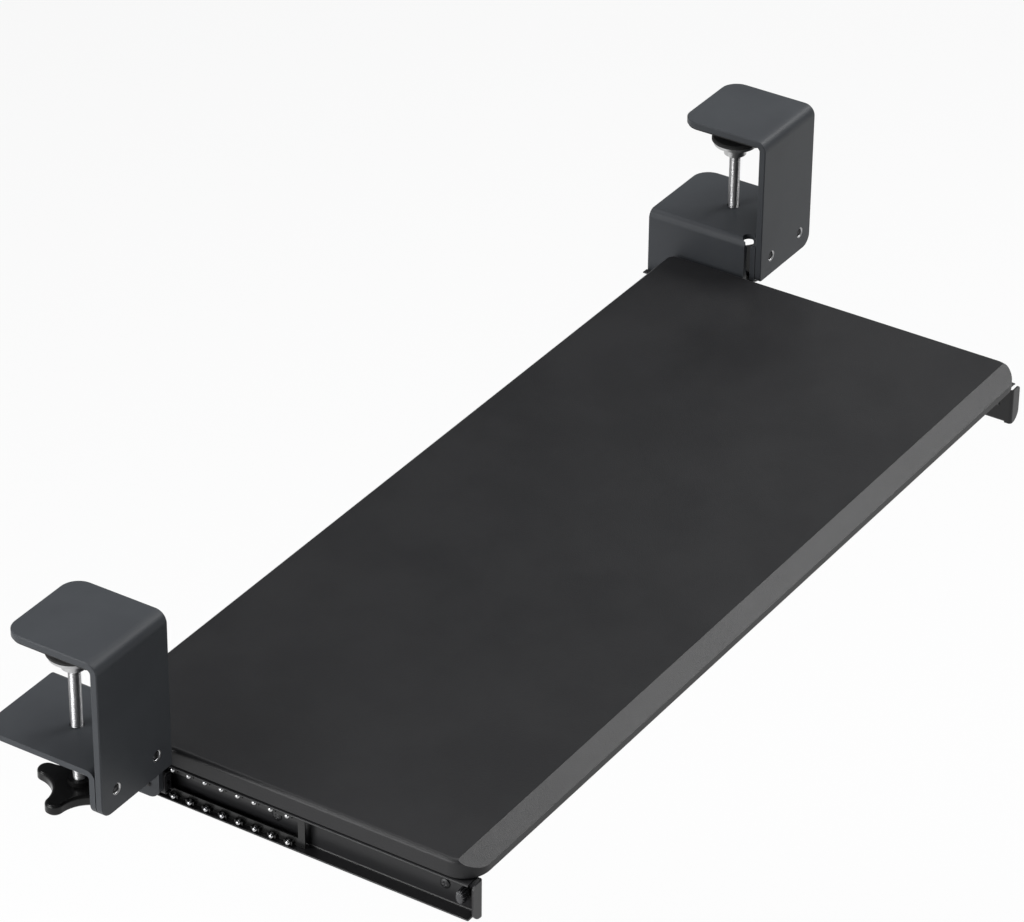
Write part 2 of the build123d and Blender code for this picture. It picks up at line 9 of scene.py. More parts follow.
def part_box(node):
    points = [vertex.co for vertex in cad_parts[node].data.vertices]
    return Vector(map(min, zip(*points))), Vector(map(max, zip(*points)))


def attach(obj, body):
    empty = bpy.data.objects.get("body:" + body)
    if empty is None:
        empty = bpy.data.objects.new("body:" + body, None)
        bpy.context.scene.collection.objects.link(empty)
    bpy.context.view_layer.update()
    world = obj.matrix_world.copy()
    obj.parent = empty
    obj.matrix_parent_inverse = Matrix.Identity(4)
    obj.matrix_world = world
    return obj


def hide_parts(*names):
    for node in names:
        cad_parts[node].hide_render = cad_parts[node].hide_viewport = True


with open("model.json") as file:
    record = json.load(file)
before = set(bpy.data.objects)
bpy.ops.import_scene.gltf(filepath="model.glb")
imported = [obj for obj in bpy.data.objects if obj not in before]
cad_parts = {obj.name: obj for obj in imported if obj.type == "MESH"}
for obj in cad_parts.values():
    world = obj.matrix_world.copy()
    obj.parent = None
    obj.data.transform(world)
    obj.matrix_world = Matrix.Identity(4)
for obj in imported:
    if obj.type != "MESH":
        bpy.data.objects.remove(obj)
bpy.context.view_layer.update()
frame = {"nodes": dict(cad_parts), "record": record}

# Everything is in metres. X runs right and Y back, seen from the tray's front, and Z up.
# The origin is midway between the clamps, 2 mm behind their uprights, level with the
# undersides of the jaw pads.

MM = 0.001
QUARTER_TURN = math.pi / 2
FULL_TURN = 2 * math.pi

# Directions, as they are on the right-hand side
OUTWARD = (1, 0, 0)
INWARD = (-1, 0, 0)
BACKWARD = (0, 1, 0)
FORWARD = (0, -1, 0)
UPWARD = (0, 0, 1)
DOWNWARD = (0, 0, -1)

# Camera of the photograph: place and reach in metres, angles in degrees, lens in millimetres
CAMERA_PLACE = (-2.2052, -1.4389, 1.5787)
CAMERA_TURN = -57.315
CAMERA_RISE = 32.110
CAMERA_ROLL = 0.533
CAMERA_LENS = 167.62
CAMERA_SENSOR = 36
CAMERA_REACH = 50

# Studio: the floor's drop under the origin, its half width, its paper and its share of plain
# white, and the even light
FLOOR_DROP = 0.73
FLOOR_HALF_WIDTH = 30
FLOOR_PAPER_COLOUR = (0.8, 0.8, 0.8, 1)
FLOOR_WHITE_SHARE = 0.86
EVEN_LIGHT_COLOUR = (0.93, 0.96, 1.0, 1)
EVEN_LIGHT_STRENGTH = 0.13

# Grain: lumps to the metre, the slow wave's shares of them and of their height, the mottle's
# lumps to the metre, and how far the grain changes the roughness
COAT_GRAINS = 900.0
SLOW_WAVE_SHARE = 0.06
SLOW_WAVE_HEIGHT = 0.2
MOTTLE_LUMPS = 14.0
ROUGHNESS_SPREAD = 0.08

# Pale edges, for wear and, on the slides, for painted highlights: width, samples, and the lumps to the
# metre that break them up
EDGE_MASK_WIDTH = 0.6 * MM
EDGE_MASK_SAMPLES = 6
EDGE_MASK_LUMPS = 220.0

# Colour sockets of a Mix node
MIX_FIRST = 6
MIX_SECOND = 7
MIX_RESULT = 2

# Clamp screws and the screws that join plate and bracket
CLAMP_SCREW_RADIUS = 4 * MM
CLAMP_SCREW_PITCH = 1.25 * MM
JOIN_SCREW_RADIUS = 3 * MM
JOIN_SCREW_PITCH = 1.0 * MM
JOIN_HEAD_HEIGHT = 3.3 * MM

# Screws of the slides and the board
SMALL_SCREW_RADIUS = 2 * MM
SMALL_SCREW_PITCH = 0.7 * MM
SMALL_HEAD_HEIGHT = 1.6 * MM
BOARD_SCREW_PITCH = 1.4 * MM
BOARD_HEAD_HEIGHT = 2.4 * MM

# Threads: depth as a share of the pitch, sides of a small and a large one, rows to a turn
THREAD_SHARE = 0.54
THREAD_SIDES = 24
ROD_SIDES = 32
THREAD_ROWS = 6

# Cross-headed screws: sides, rows of the dome, shares of the head's and the recess's sizes,
# a slot's half angle, and the least sine that its width is divided by
CROSS_ARMS = 4
HEAD_SIDES = 72
DOME_ROWS = 8
DOME_SHARE = 2 / 3
RECESS_SHARE = 0.58
RECESS_DEPTH_SHARE = 0.6
RECESS_FLOOR_SHARE = 0.6
SLOT_HALF_ANGLE = math.radians(15)
LEAST_SINE = 0.001

# Chamfers of the tapped holes, and the thin linings that lie on them
HOLE_CHAMFER = 1 * MM
LINING_GAP = 0.05 * MM
LINING_WALL = 0.02 * MM
LINING_SIDES = 48

# Balls and bumpers
BALL_RADIUS = 2 * MM
BALL_SUBDIVISIONS = 4
BUMPER_PEG_RADIUS = 1.6 * MM
BUMPER_PEG_LENGTH = 1.2 * MM
BUMPER_RIB_DEPTH = 0.7 * MM
BUMPER_RIBS = 14
BUMPER_SIDES = 160
BUMPER_WALL_SHARE = 0.72

# Nearest that two corners of a mesh may lie without being one
JOIN_GAP = 0.001 * MM

scene = bpy.context.scene
scene.view_settings.view_transform = "Standard"


# Nodes

def feed(tree, socket, value):
    """A socket gets a link from another socket, or a plain value."""
    if isinstance(value, bpy.types.NodeSocket):
        tree.links.new(value, socket)
    else:
        socket.default_value = value


def add(tree, kind, settings=None, **inputs):
    """Node with its inputs linked or set; an underscore in a label stands for a space."""
    node = tree.nodes.new(kind)
    for label, value in (settings or {}).items():
        setattr(node, label, value)
    for label, value in inputs.items():
        feed(tree, node.inputs[label.replace("_", " ")], value)
    return node


def worker(tree):
    """Function that adds math nodes to a tree: sockets or numbers go in, and a socket comes out."""
    def work(operation, first, second=0):
        node = add(tree, "ShaderNodeMath", {"operation": operation})
        feed(tree, node.inputs[0], first)
        feed(tree, node.inputs[1], second)
        return node.outputs[0]
    return work


def share_of(tree, value, low, high, kind="LINEAR"):
    """Share from 0 to 1 of the way of a value from low to high."""
    share = add(
        tree, "ShaderNodeMapRange", {"interpolation_type": kind}, Value=value,
        From_Min=low, From_Max=high)
    return share.outputs["Result"]


def add_inputs(tree, inputs):
    """Named inputs of a tree with their first values, whole numbers or sizes."""
    for label, value in inputs.items():
        kind = "NodeSocketInt" if isinstance(value, int) else "NodeSocketFloat"
        socket = tree.interface.new_socket(name=label, in_out="INPUT", socket_type=kind)
        socket.default_value = value


def tree_ends(tree):
    """What a tree is given, and where it puts what it makes."""
    return tree.nodes.new("NodeGroupInput").outputs, tree.nodes.new("NodeGroupOutput").inputs


# Camera, light and floor

def direction(turn, rise):
    """Unit vector from the object towards a camera at that turn and rise, in degrees."""
    turn, rise = math.radians(turn), math.radians(rise)
    level = math.cos(rise)
    return Vector((math.sin(turn) * level, -math.cos(turn) * level, math.sin(rise)))


def make_camera():
    """The photograph's camera."""
    back = direction(CAMERA_TURN, CAMERA_RISE)
    right = (-back).cross(Vector(UPWARD)).normalized()
    up = right.cross(-back).normalized()
    roll = math.radians(CAMERA_ROLL)
    across = math.cos(roll) * right + math.sin(roll) * up
    upward = -math.sin(roll) * right + math.cos(roll) * up
    data = bpy.data.cameras.new("photo_camera")
    data.lens = CAMERA_LENS
    data.sensor_width = CAMERA_SENSOR
    data.clip_end = CAMERA_REACH
    camera = bpy.data.objects.new("photo_camera", data)
    scene.collection.objects.link(camera)
    turn = Matrix((across, upward, back)).transposed().to_4x4()
    camera.matrix_world = Matrix.Translation(CAMERA_PLACE) @ turn
    scene.camera = camera


def make_even_light():
    """Weak light from all round."""
    world = bpy.data.worlds.new("studio")
    world.use_nodes = True
    background = world.node_tree.nodes["Background"].inputs
    background["Color"].default_value = EVEN_LIGHT_COLOUR
    background["Strength"].default_value = EVEN_LIGHT_STRENGTH
    scene.world = world


def make_soft_box(name, place, aim, size, power):
    """Soft box at a place, facing a point, with its power in watts."""
    data = bpy.data.lights.new(name, "AREA")
    data.shape = "RECTANGLE"
    data.size, data.size_y = size
    data.energy = power
    light = bpy.data.objects.new(name, data)
    scene.collection.objects.link(light)
    facing = (Vector(place) - Vector(aim)).to_track_quat("Z", "Y").to_matrix().to_4x4()
    light.matrix_world = Matrix.Translation(place) @ facing
    light.visible_camera = False


def make_soft_boxes():
    """A large box over the tray, and smaller ones for its sides, edges, bevel and sheen."""
    make_soft_box(
        "top_box", place=(0.3, 0.0, 2.3), aim=(0, -0.1, -0.1), size=(2.4, 2.2), power=47)
    make_soft_box(
        "left_box", place=(-1.6, 0.5, 0.1), aim=(-0.3, -0.05, -0.1), size=(1.2, 0.9), power=19)
    make_soft_box(
        "edge_box", place=(-1.4, 1.0, 1.45), aim=(-0.2, -0.1, -0.1), size=(0.8, 0.6), power=18)
    make_soft_box(
        "bevel_box", place=(2.3, -1.1, 1.9), aim=(0.1, -0.2, -0.1), size=(1.6, 1.0), power=52)
    make_soft_box(
        "sheen_box", place=(1.6, 0.3, 0.85), aim=(0.3, -0.2, -0.1), size=(0.8, 0.5), power=1)


def make_floor_paper():
    """White where the camera, a reflection or a clear piece sees it, but for the shadow."""
    material = bpy.data.materials.new("white_floor")
    material.use_nodes = True
    tree = material.node_tree
    tree.nodes.clear()
    work = worker(tree)
    rays = add(tree, "ShaderNodeLightPath").outputs
    seen = work("MAXIMUM", rays["Is Camera Ray"], rays["Is Glossy Ray"])
    seen = work("MAXIMUM", seen, rays["Is Transmission Ray"])
    paper = add(tree, "ShaderNodeBsdfDiffuse", Color=FLOOR_PAPER_COLOUR)
    white = add(tree, "ShaderNodeEmission", Strength=1)
    both = add(tree, "ShaderNodeMixShader", Fac=work("MULTIPLY", seen, FLOOR_WHITE_SHARE))
    feed(tree, both.inputs[1], paper.outputs[0])
    feed(tree, both.inputs[2], white.outputs[0])
    add(tree, "ShaderNodeOutputMaterial", Surface=both.outputs[0])
    return material


def make_floor():
    """Wide pale floor."""
    half, height = FLOOR_HALF_WIDTH, -FLOOR_DROP
    corners = [
        (-half, -half, height), (half, -half, height), (half, half, height), (-half, half, height)]
    mesh = bpy.data.meshes.new("studio_floor")
    mesh.from_pydata(corners, [], [(0, 1, 2, 3)])
    mesh.materials.append(make_floor_paper())
    floor = bpy.data.objects.new("studio_floor", mesh)
    scene.collection.objects.link(floor)


# Surface effects and finishes

def make_effect(name, inputs, outputs):
    """Empty shader group with a Vector input, other named inputs and named outputs."""
    group = bpy.data.node_groups.new(name, "ShaderNodeTree")
    group.interface.new_socket(name="Vector", in_out="INPUT", socket_type="NodeSocketVector")
    add_inputs(group, inputs)
    for label in outputs:
        group.interface.new_socket(name=label, in_out="OUTPUT", socket_type="NodeSocketFloat")
    return group, *tree_ends(group)


def noise(tree, vector, lumps, detail, roughness):
    """Noise of a number of lumps to the metre."""
    node = add(
        tree, "ShaderNodeTexNoise", Vector=vector, Scale=lumps, Detail=detail, Roughness=roughness)
    return node.outputs["Fac"]


def make_grain():
    """Fine lumps of a coat or a moulded skin over a slow wave, and a wide mottle."""
    group, given, out = make_effect(
        "surface_grain", {"Grains": COAT_GRAINS, "Fineness": 0.5, "Waviness": SLOW_WAVE_HEIGHT},
        ["Height", "Mottle"])
    work = worker(group)
    vector = given["Vector"]
    fine = noise(group, vector, lumps=given["Grains"], detail=3.0, roughness=given["Fineness"])
    slow_lumps = work("MULTIPLY", given["Grains"], SLOW_WAVE_SHARE)
    slow = noise(group, vector, lumps=slow_lumps, detail=2.0, roughness=0.5)
    feed(group, out["Height"], work("ADD", fine, work("MULTIPLY", slow, given["Waviness"])))
    feed(group, out["Mottle"], noise(group, vector, lumps=MOTTLE_LUMPS, detail=4.0, roughness=0.6))
    return group


def make_edge_mask():
    """Mask of edges, broken up by noise: worn edges, and on the slides painted highlights."""
    group, given, out = make_effect(
        "edge_wear", {"Width": EDGE_MASK_WIDTH, "Breakup": EDGE_MASK_LUMPS}, ["Mask"])
    work = worker(group)
    rounded = add(group, "ShaderNodeBevel", {"samples": EDGE_MASK_SAMPLES}, Radius=given["Width"])
    surface = add(group, "ShaderNodeNewGeometry")
    alike = add(group, "ShaderNodeVectorMath", {"operation": "DOT_PRODUCT"})
    feed(group, alike.inputs[0], rounded.outputs["Normal"])
    feed(group, alike.inputs[1], surface.outputs["Normal"])
    bend = work("SUBTRACT", 1.0, alike.outputs["Value"])
    edge = share_of(group, bend, low=0.02, high=0.16, kind="SMOOTHSTEP")
    patches = noise(group, given["Vector"], lumps=given["Breakup"], detail=3.0, roughness=0.6)
    broken = share_of(group, patches, low=0.35, high=0.7, kind="SMOOTHSTEP")
    feed(group, out["Mask"], work("MULTIPLY", edge, broken))
    return group


GRAIN = make_grain()
EDGE_MASK = make_edge_mask()


def grey(level):
    """Colour with no tint."""
    return (level, level, level)


def mix_colours(tree, share, first, second):
    """Colour between two, by a share from 0 to 1."""
    node = add(tree, "ShaderNodeMix", {"data_type": "RGBA"}, Factor=share)
    feed(tree, node.inputs[MIX_FIRST], first)
    feed(tree, node.inputs[MIX_SECOND], second)
    return node.outputs[MIX_RESULT]


def make_finish(name, colour, second_colour, wear_and_highlight_colour, roughness, grains, bump, shine=0.5,
                metal=0.0, wear_width=EDGE_MASK_WIDTH, wear_and_highlight_share=0.4, stretch=(1, 1, 1)):
    """Grained finish: mottled colour, pale edges for wear and painted highlights, uneven roughness and
    bump.
    """
    material = bpy.data.materials.new(name)
    material.use_nodes = True
    tree = material.node_tree
    work = worker(tree)
    shader = tree.nodes["Principled BSDF"].inputs
    place = add(tree, "ShaderNodeTexCoord").outputs["Object"]
    vector = add(tree, "ShaderNodeMapping", Vector=place, Scale=stretch).outputs["Vector"]
    grain = add(tree, "ShaderNodeGroup", {"node_tree": GRAIN}, Vector=vector, Grains=grains).outputs
    edge_marks = add(tree, "ShaderNodeGroup", {"node_tree": EDGE_MASK}, Vector=vector, Width=wear_width).outputs
    mottle = share_of(tree, grain["Mottle"], low=0.3, high=0.7, kind="SMOOTHSTEP")
    body = mix_colours(tree, mottle, (*colour, 1), (*second_colour, 1))
    # The pale edges are wear, and on the slides' coat they are also painted highlights.
    pale_edge_share = work("MULTIPLY", edge_marks["Mask"], wear_and_highlight_share)
    feed(tree, shader["Base Color"], mix_colours(tree, pale_edge_share, body, (*wear_and_highlight_colour, 1)))
    uneven = work("MULTIPLY", work("SUBTRACT", grain["Height"], 0.5), ROUGHNESS_SPREAD)
    feed(tree, shader["Roughness"], work("ADD", roughness, uneven))
    raised = add(tree, "ShaderNodeBump", Strength=1, Distance=bump, Height=grain["Height"])
    feed(tree, shader["Normal"], raised.outputs["Normal"])
    shader["Metallic"].default_value = metal
    shader["Specular IOR Level"].default_value = shine
    return material


def powder_coat():
    """Fine charcoal coat of the bent plates and brackets."""
    return make_finish(
        "charcoal_powder_coat", colour=(0.043, 0.046, 0.051), second_colour=(0.050, 0.054, 0.059),
        wear_and_highlight_colour=(0.12, 0.12, 0.125), roughness=0.4, grains=1100.0, bump=0.035 * MM, shine=0.15)


def rail_coat():
    """Smooth black coat of the slides, with its grain drawn out along them, and strong pale edges that
    are partly wear and partly painted highlights along the lips.
    """
    return make_finish(
        "black_rail_coat", colour=(0.014, 0.014, 0.015), second_colour=(0.020, 0.020, 0.021),
        # The strong pale edges are partly wear and partly painted highlights, the thin light lines
        # along the lips.
        wear_and_highlight_colour=grey(0.12), roughness=0.32, grains=500.0, bump=0.012 * MM, shine=0.3,
        stretch=(1, 0.25, 1), wear_width=0.4 * MM, wear_and_highlight_share=0.7)


def cage_coat_with_painted_shade():
    """Black steel of the ball cages, darker than the rails' coat: painted shade for the shadow inside
    the slides.
    """
    return make_finish(
        # The cages' deeper black is painted shade, for the shadow they lie in inside the slides.
        "oiled_black_cage", colour=grey(0.006), second_colour=grey(0.010),
        wear_and_highlight_colour=grey(0.09), roughness=0.28, grains=500.0, bump=0.012 * MM, shine=0.4,
        wear_width=0.3 * MM, wear_and_highlight_share=0.6)


def board_film():
    """Satin black film with a fine pebble, wrapped round the board."""
    return make_finish(
        "black_film", colour=(0.010, 0.010, 0.011), second_colour=(0.014, 0.014, 0.015),
        wear_and_highlight_colour=grey(0.05), roughness=0.4, grains=1300.0, bump=0.09 * MM, shine=0.28,
        wear_width=1.2 * MM)


def pad_rubber():
    """Matt black rubber of the jaw and foot pads."""
    return make_finish(
        "black_rubber", colour=grey(0.016), second_colour=grey(0.024), wear_and_highlight_colour=grey(0.05),
        roughness=0.75, grains=700.0, bump=0.03 * MM, shine=0.3)


def bumper_plastic():
    """Smoky soft plastic of the bumpers."""
    return make_finish(
        "grey_soft_plastic", colour=(0.035, 0.035, 0.038), second_colour=(0.07, 0.07, 0.075),
        wear_and_highlight_colour=(0.30, 0.30, 0.31), roughness=0.18, grains=600.0, bump=0.02 * MM,
        wear_width=0.4 * MM)


def knob_plastic():
    """Glossy black moulded plastic of the star knobs."""
    return make_finish(
        "black_moulded_plastic", colour=grey(0.005), second_colour=grey(0.008),
        wear_and_highlight_colour=grey(0.04), roughness=0.22, grains=400.0, bump=0.004 * MM, shine=0.25)


def ball_steel():
    """Polished steel of the bearing balls, its colour darkened as painted shade for the dark
    surroundings they reflect between their lights.
    """
    return make_finish(
        # The steel's dark colour is painted shade, for the dark surroundings that the balls reflect.
        "polished_steel", colour=(0.38, 0.38, 0.39), second_colour=grey(0.46),
        wear_and_highlight_colour=grey(0.6), roughness=0.08, grains=900.0, bump=0.002 * MM, metal=1.0)


def zinc_plating():
    """Zinc of the clamp screws, the foot discs and the bare chamfers."""
    return make_finish(
        "zinc_steel", colour=(0.42, 0.42, 0.43), second_colour=grey(0.5), wear_and_highlight_colour=grey(0.6),
        roughness=0.35, grains=800.0, bump=0.006 * MM, metal=1.0)


def screw_oxide():
    """Black oxide of the small screws."""
    return make_finish(
        "black_oxide", colour=(0.02, 0.02, 0.021), second_colour=(0.03, 0.03, 0.031),
        wear_and_highlight_colour=grey(0.12), roughness=0.38, grains=900.0, bump=0.006 * MM, metal=0.6,
        wear_width=0.3 * MM)


CAGE_FINISH = "black_cage"
FINISHES = {
    "charcoal_powder_coat": powder_coat(),
    "black_rail": rail_coat(),
    CAGE_FINISH: cage_coat_with_painted_shade(),
    "black_film_board": board_film(),
    "black_rubber": pad_rubber(),
    "grey_soft_plastic": bumper_plastic(),
    "black_moulded_plastic": knob_plastic(),
    "bright_steel": ball_steel(),
    "zinc_steel": zinc_plating(),
    "black_screws": screw_oxide(),
}


def finish_cad_nodes():
    """Each CAD node takes the finish of its slot, and the cages their own darker black, which is
    painted shade.
    """
    for part in frame["record"]["subparts"]:
        name = part["node"]
        finish = CAGE_FINISH if name.endswith("ball_cage") else part["material_slot"]
        for slot in frame["nodes"][name].material_slots:
            slot.material = FINISHES[finish]


# Shapes by Geometry Nodes

def make_shape_tree(name, inputs):
    """Geometry tree with named inputs, what it is given and where its shape goes."""
    tree = bpy.data.node_groups.new(name, "GeometryNodeTree")
    for way in ("INPUT", "OUTPUT"):
        tree.interface.new_socket(name="Geometry", in_out=way, socket_type="NodeSocketGeometry")
    add_inputs(tree, inputs)
    return tree, *tree_ends(tree)


def lathe_grid(tree, sides, rows):
    """Grid to be wrapped round an axis: its mesh, its turn from 0 to 1 and its row number."""
    work = worker(tree)
    grid = add(
        tree, "GeometryNodeMeshGrid", Size_X=1.0, Size_Y=1.0,
        Vertices_X=work("ADD", sides, 1), Vertices_Y=work("ADD", rows, 1))
    place = add(tree, "GeometryNodeInputPosition")
    split = add(tree, "ShaderNodeSeparateXYZ", Vector=place.outputs["Position"])
    turn = work("ADD", split.outputs["X"], 0.5)
    row = work("ROUND", work("MULTIPLY", work("ADD", split.outputs["Y"], 0.5), rows))
    return grid.outputs["Mesh"], turn, row


def wrap(tree, mesh, turn, radius, height, wide=1.0):
    """Grid wrapped round the Z axis at a radius and a height, with its seam and poles closed."""
    work = worker(tree)
    angle = work("MULTIPLY", turn, FULL_TURN)
    across = work("MULTIPLY", radius, work("COSINE", angle))
    along = work("MULTIPLY", work("MULTIPLY", radius, work("SINE", angle)), wide)
    place = add(tree, "ShaderNodeCombineXYZ", X=across, Y=along, Z=height)
    moved = add(tree, "GeometryNodeSetPosition", Geometry=mesh, Position=place.outputs["Vector"])
    closed = add(tree, "GeometryNodeMergeByDistance", Geometry=moved.outputs[0], Distance=JOIN_GAP)
    return closed.outputs[0]


def between(tree, row, first, last):
    """1 on the rows from first to last, else 0."""
    work = worker(tree)
    after = work("GREATER_THAN", row, work("SUBTRACT", first, 0.5))
    return work("MULTIPLY", after, work("LESS_THAN", row, work("ADD", last, 0.5)))


def make_thread():
    """Threaded shank that runs down from the origin and fades out at its end."""
    tree, given, out = make_shape_tree("threaded_shank", {
        "Radius": SMALL_SCREW_RADIUS, "Thread Depth": THREAD_SHARE * SMALL_SCREW_PITCH,
        "Pitch": SMALL_SCREW_PITCH, "Length": 4 * SMALL_SCREW_RADIUS,
        "Sides": THREAD_SIDES, "Rows to a Turn": THREAD_ROWS})
    work = worker(tree)
    # The first and the last row are the poles, and the rows between them are the wall.
    turns = work("DIVIDE", given["Length"], given["Pitch"])
    wall_rows = work("CEIL", work("MULTIPLY", turns, given["Rows to a Turn"]))
    last = work("ADD", wall_rows, 1)
    mesh, turn, row = lathe_grid(tree, given["Sides"], work("ADD", last, 1))
    depth = work("MULTIPLY", share_of(tree, row, 1, last), given["Length"])
    wound = work("FRACT", work("ADD", work("DIVIDE", depth, given["Pitch"]), turn))
    ridge = work("ABSOLUTE", work("SUBTRACT", work("MULTIPLY", wound, 2.0), 1.0))
    blunt = share_of(tree, work("SUBTRACT", given["Length"], depth), 0, given["Pitch"])
    hollow = work("SUBTRACT", 1.0, work("MULTIPLY", ridge, blunt))
    radius = work("SUBTRACT", given["Radius"], work("MULTIPLY", given["Thread Depth"], hollow))
    radius = work("MULTIPLY", radius, between(tree, row, 1, last))
    feed(tree, out["Geometry"], wrap(tree, mesh, turn, radius, work("MULTIPLY", depth, -1.0)))
    return tree


def make_head():
    """Domed screw head that stands on the origin, with a crisp cross recess."""
    tree, given, out = make_shape_tree("cross_head", {
        "Radius": 2 * SMALL_SCREW_RADIUS, "Height": SMALL_HEAD_HEIGHT,
        "Recess Reach": SMALL_SCREW_RADIUS, "Recess Depth": SMALL_HEAD_HEIGHT / 2})
    work = worker(tree)
    # From the middle of the recess's floor to its edge, the rim, over the dome and under it.
    floor_edge, rim = 1, 2
    dome_end = rim + DOME_ROWS
    mesh, turn, row = lathe_grid(tree, HEAD_SIDES, dome_end + 2)
    arm = work("FRACT", work("ADD", work("MULTIPLY", turn, CROSS_ARMS), 0.5))
    arm = work("MULTIPLY", work("ABSOLUTE", work("SUBTRACT", arm, 0.5)), FULL_TURN / CROSS_ARMS)
    end = work("DIVIDE", given["Recess Reach"], work("COSINE", arm))
    slot = work("MULTIPLY", given["Recess Reach"], math.tan(SLOT_HALF_ANGLE))
    cross = work("MINIMUM", end, work("DIVIDE", slot, work("MAXIMUM", work("SINE", arm), LEAST_SINE)))
    outward = share_of(tree, row, rim, dome_end)
    crown = work("ADD", cross, work("MULTIPLY", work("SUBTRACT", given["Radius"], cross), outward))
    radius = work("MULTIPLY", crown, between(tree, row, rim, dome_end + 1))
    bottom = work("MULTIPLY", cross, RECESS_FLOOR_SHARE)
    radius = work("ADD", radius, work("MULTIPLY", bottom, between(tree, row, floor_edge, floor_edge)))
    fall = work("POWER", work("DIVIDE", crown, given["Radius"]), 2.0)
    dome = work("MULTIPLY", given["Height"], work("SUBTRACT", 1.0, work("MULTIPLY", fall, DOME_SHARE)))
    dome = work("MULTIPLY", dome, between(tree, row, rim, dome_end))
    recess = work("SUBTRACT", given["Height"], given["Recess Depth"])
    height = work("ADD", dome, work("MULTIPLY", recess, between(tree, row, 0, floor_edge)))
    feed(tree, out["Geometry"], wrap(tree, mesh, turn, radius, height))
    return tree


def finish_on_points(tree, given, out, shape):
    """Ends a tree: the shape on each point, turned to the point's axis, in its finish."""
    tree.interface.new_socket(name="Finish", in_out="INPUT", socket_type="NodeSocketMaterial")
    axis = add(tree, "GeometryNodeInputNamedAttribute", {"data_type": "FLOAT_VECTOR"}, Name="axis")
    turned = add(
        tree, "FunctionNodeAlignRotationToVector", {"axis": "Z"}, Vector=axis.outputs["Attribute"])
    copies = add(
        tree, "GeometryNodeInstanceOnPoints", Points=given["Geometry"], Instance=shape,
        Rotation=turned.outputs["Rotation"])
    smooth = add(tree, "GeometryNodeSetShadeSmooth", Geometry=copies.outputs["Instances"])
    real = add(tree, "GeometryNodeRealizeInstances", Geometry=smooth.outputs[0])
    finished = add(
        tree, "GeometryNodeSetMaterial", Geometry=real.outputs[0], Material=given["Finish"])
    feed(tree, out["Geometry"], finished.outputs[0])


def make_screw_tree(head, thread):
    """Cross-headed screws on points: the head faces along the axis, the thread runs back."""
    tree, given, out = make_shape_tree("cross_headed_screws", {
        "Head Radius": 2 * SMALL_SCREW_RADIUS, "Head Height": SMALL_HEAD_HEIGHT,
        "Shank Radius": SMALL_SCREW_RADIUS, "Shank Length": 4 * SMALL_SCREW_RADIUS,
        "Pitch": SMALL_SCREW_PITCH})
    work = worker(tree)
    top = add(
        tree, "GeometryNodeGroup", {"node_tree": head},
        Radius=given["Head Radius"], Height=given["Head Height"],
        Recess_Reach=work("MULTIPLY", given["Head Radius"], RECESS_SHARE),
        Recess_Depth=work("MULTIPLY", given["Head Height"], RECESS_DEPTH_SHARE))
    shank = add(
        tree, "GeometryNodeGroup", {"node_tree": thread},
        Radius=given["Shank Radius"], Length=given["Shank Length"], Pitch=given["Pitch"],
        Thread_Depth=work("MULTIPLY", given["Pitch"], THREAD_SHARE))
    whole = add(tree, "GeometryNodeJoinGeometry")
    for half in (top, shank):
        tree.links.new(half.outputs[0], whole.inputs[0])
    finish_on_points(tree, given, out, whole.outputs[0])
    return tree


def make_rod_tree(thread):
    """Threaded rods that hang from points."""
    tree, given, out = make_shape_tree("threaded_rods", {
        "Radius": CLAMP_SCREW_RADIUS, "Length": 20 * CLAMP_SCREW_RADIUS,
        "Pitch": CLAMP_SCREW_PITCH, "Sides": ROD_SIDES})
    work = worker(tree)
    rod = add(
        tree, "GeometryNodeGroup", {"node_tree": thread},
        Radius=given["Radius"], Length=given["Length"], Pitch=given["Pitch"],
        Thread_Depth=work("MULTIPLY", given["Pitch"], THREAD_SHARE), Sides=given["Sides"])
    finish_on_points(tree, given, out, rod.outputs[0])
    return tree


def make_ball_tree():
    """Bearing balls on points."""
    tree, given, out = make_shape_tree("bearing_balls", {
        "Radius": BALL_RADIUS, "Subdivisions": BALL_SUBDIVISIONS})
    ball = add(
        tree, "GeometryNodeMeshIcoSphere", Radius=given["Radius"], Subdivisions=given["Subdivisions"])
    finish_on_points(tree, given, out, ball.outputs["Mesh"])
    return tree


def make_lining_tree():
    """Thin conical linings that show the bare metal of chamfered holes on points."""
    tree, given, out = make_shape_tree("chamfer_linings", {
        "Bore Radius": JOIN_SCREW_RADIUS, "Rim Radius": JOIN_SCREW_RADIUS + HOLE_CHAMFER,
        "Depth": HOLE_CHAMFER, "Wall": LINING_WALL})
    work = worker(tree)
    # From the rim down the cone's face to the bore, and back up behind it to the rim.
    rows = 4
    mesh, turn, row = lathe_grid(tree, LINING_SIDES, rows)
    sunk = between(tree, row, 1, 2)
    width = work("SUBTRACT", given["Rim Radius"], given["Bore Radius"])
    radius = work("SUBTRACT", given["Rim Radius"], work("MULTIPLY", width, sunk))
    depth = work("MULTIPLY", given["Depth"], sunk)
    depth = work("ADD", depth, work("MULTIPLY", given["Wall"], between(tree, row, 2, 3)))
    lining = wrap(tree, mesh, turn, radius, work("MULTIPLY", depth, -1.0))
    finish_on_points(tree, given, out, lining)
    return tree


